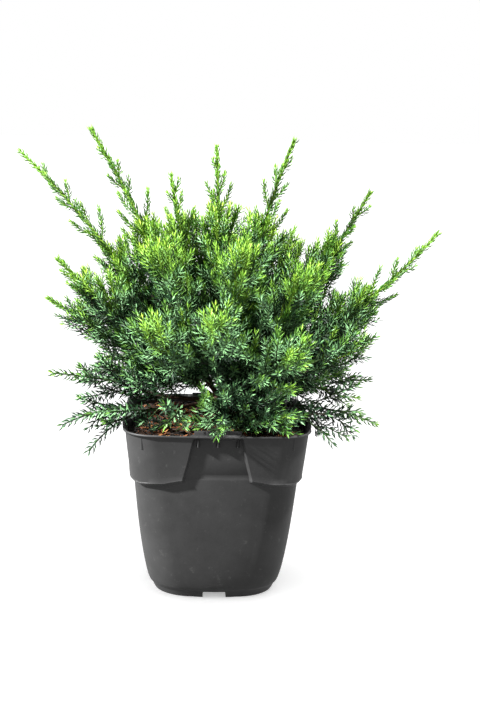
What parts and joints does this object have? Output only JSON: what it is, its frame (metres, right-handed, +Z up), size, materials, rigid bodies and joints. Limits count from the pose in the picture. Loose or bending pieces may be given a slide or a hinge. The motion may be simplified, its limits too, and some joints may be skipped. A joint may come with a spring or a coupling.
{
  "type": "potted juniper shrub",
  "caption": "Young spreading juniper with awl-shaped leaves and long leaders, in a square dark plastic nursery pot.",
  "frame": {"origin": "centre of the pot's flat underside, on the ground", "axes": "+Z up, +X to the right and -Y to the front as the plant is seen from its front"},
  "size_m": [0.2184, 0.1479, 0.24],
  "materials": {
    "pot": "moulded dark grey plastic, slightly scuffed, semi-matt",
    "soil": "damp bark compost with loose chips, matt",
    "bark": "thin brown bark with fine lengthwise fissures, matt",
    "foliage": "awl-shaped needles, lime green at the tips and blue-green inside, with a pale bloom, satin"
  },
  "bodies": {
    "root": {"bough_back": "bark", "bough_back_left": "bark", "bough_back_low": "bark", "bough_back_right": "bark", "bough_front_centre": "bark", "bough_front_left": "bark", "bough_front_low": "bark", "bough_front_right": "bark", "bough_left_front_low": "bark", "bough_left_rising": "bark", "bough_left_spreading": "bark", "bough_left_upper": "bark", "bough_right_back_upper": "bark", "bough_right_drooping": "bark", "bough_right_lead": "bark", "bough_right_rising": "bark", "bough_right_upper": "bark", "bough_top": "bark", "foliage_back": "foliage", "foliage_back_high": "foliage", "foliage_back_left": "foliage", "foliage_back_left_low": "foliage", "foliage_back_low": "foliage", "foliage_back_right": "foliage", "foliage_back_right_leader": "foliage", "foliage_back_right_low": "foliage", "foliage_far_left_leader": "foliage", "foliage_far_right_leader": "foliage", "foliage_front_centre": "foliage", "foliage_front_centre_low": "foliage", "foliage_front_left": "foliage", "foliage_front_left_high": "foliage", "foliage_front_left_low": "foliage", "foliage_front_right": "foliage", "foliage_front_right_high": "foliage", "foliage_front_right_low": "foliage", "foliage_front_top": "foliage", "foliage_left_droop": "foliage", "foliage_left_front_droop": "foliage", "foliage_left_high": "foliage", "foliage_left_leader": "foliage", "foliage_left_low": "foliage", "foliage_left_mid": "foliage", "foliage_right_droop": "foliage", "foliage_right_front_droop": "foliage", "foliage_right_front_mid": "foliage", "foliage_right_leader": "foliage", "foliage_right_low": "foliage", "foliage_right_low_leader": "foliage", "foliage_right_mid": "foliage", "foliage_thin_leader": "foliage", "foliage_top_leader": "foliage", "pot": "pot", "soil": "soil", "trunk": "bark"}
  },
  "joints": []
}
